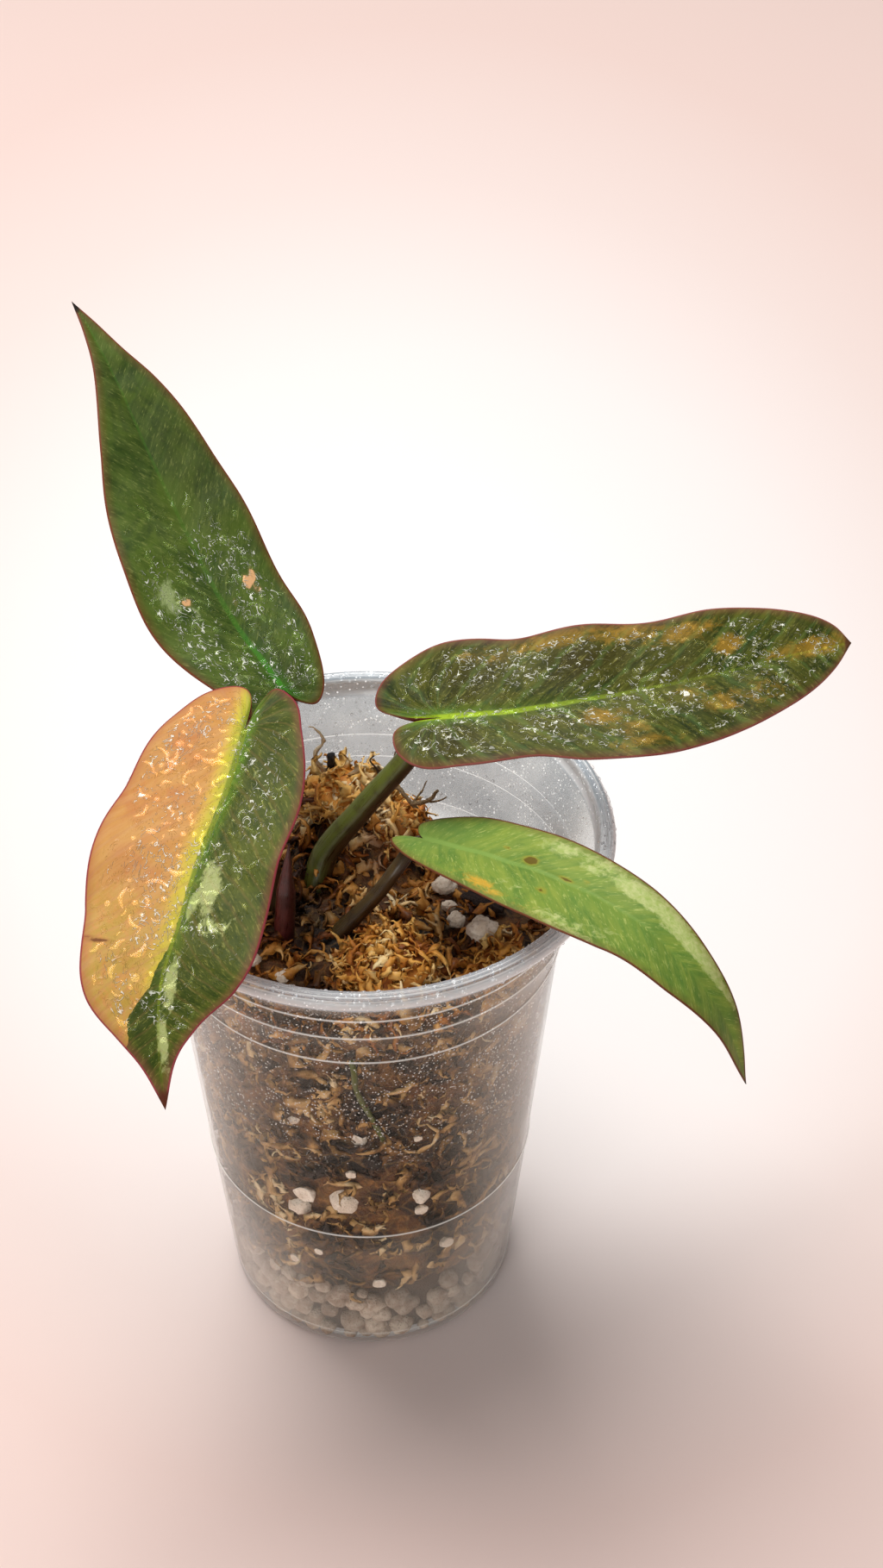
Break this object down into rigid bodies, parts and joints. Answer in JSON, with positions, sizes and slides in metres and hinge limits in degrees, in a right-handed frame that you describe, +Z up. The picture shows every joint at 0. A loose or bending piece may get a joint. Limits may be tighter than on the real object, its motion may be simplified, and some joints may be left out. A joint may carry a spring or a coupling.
{
  "type": "potted variegated philodendron",
  "caption": "Young variegated philodendron with long heart-based leaves, rooted in moss and pumice in a clear plastic cup.",
  "frame": {"origin": "centre of the cup's underside, on the surface it stands on", "axes": "+Z up along the cup's axis, -Y towards the front, where the orange leaf hangs, +X to the right seen from the front"},
  "size_m": [0.1477, 0.1505, 0.1853],
  "materials": {
    "clear_plastic": "clear moulded cup wall, beaded with condensation",
    "pumice": "pale porous stone, damp",
    "moss_brown": "wet brown sphagnum, tangled strands",
    "moss_golden": "looser golden sphagnum strands",
    "dark_bark": "rough dark bark and dead stalk",
    "dry_twig": "dry grey-tan twig",
    "red_stem": "smooth dark red stem",
    "petiole_green": "satin olive stalk, maroon beneath",
    "leaf_dark": "dark green blade, satin, wet near the base",
    "leaf_orange": "half orange, half mottled green blade, wet",
    "leaf_mottled": "dark green blade mottled ochre, very wet",
    "leaf_lime": "lime and green mottled blade, satin"
  },
  "bodies": {
    "root": {"cup": "clear_plastic", "drainage_pumice": "pumice", "moss_bed": "moss_brown", "moss_clump_front": "moss_golden", "moss_clump_back": "moss_golden", "moss_clump_right": "moss_golden", "pumice_surface_1": "pumice", "pumice_surface_2": "pumice", "pumice_surface_3": "pumice", "pumice_surface_4": "pumice", "pumice_surface_5": "pumice", "pumice_surface_6": "pumice", "pumice_wall_1": "pumice", "pumice_wall_2": "pumice", "pumice_wall_3": "pumice", "pumice_wall_4": "pumice", "pumice_wall_5": "pumice", "bark_chip": "dark_bark", "stem_and_roots": "red_stem", "petiole_1": "petiole_green", "petiole_2": "petiole_green", "petiole_3": "petiole_green", "petiole_4": "petiole_green", "blade_1": "leaf_dark", "blade_2": "leaf_orange", "blade_3": "leaf_mottled", "blade_4": "leaf_lime", "new_shoot": "red_stem", "dead_stub": "dark_bark", "twig": "dry_twig"}
  },
  "joints": []
}
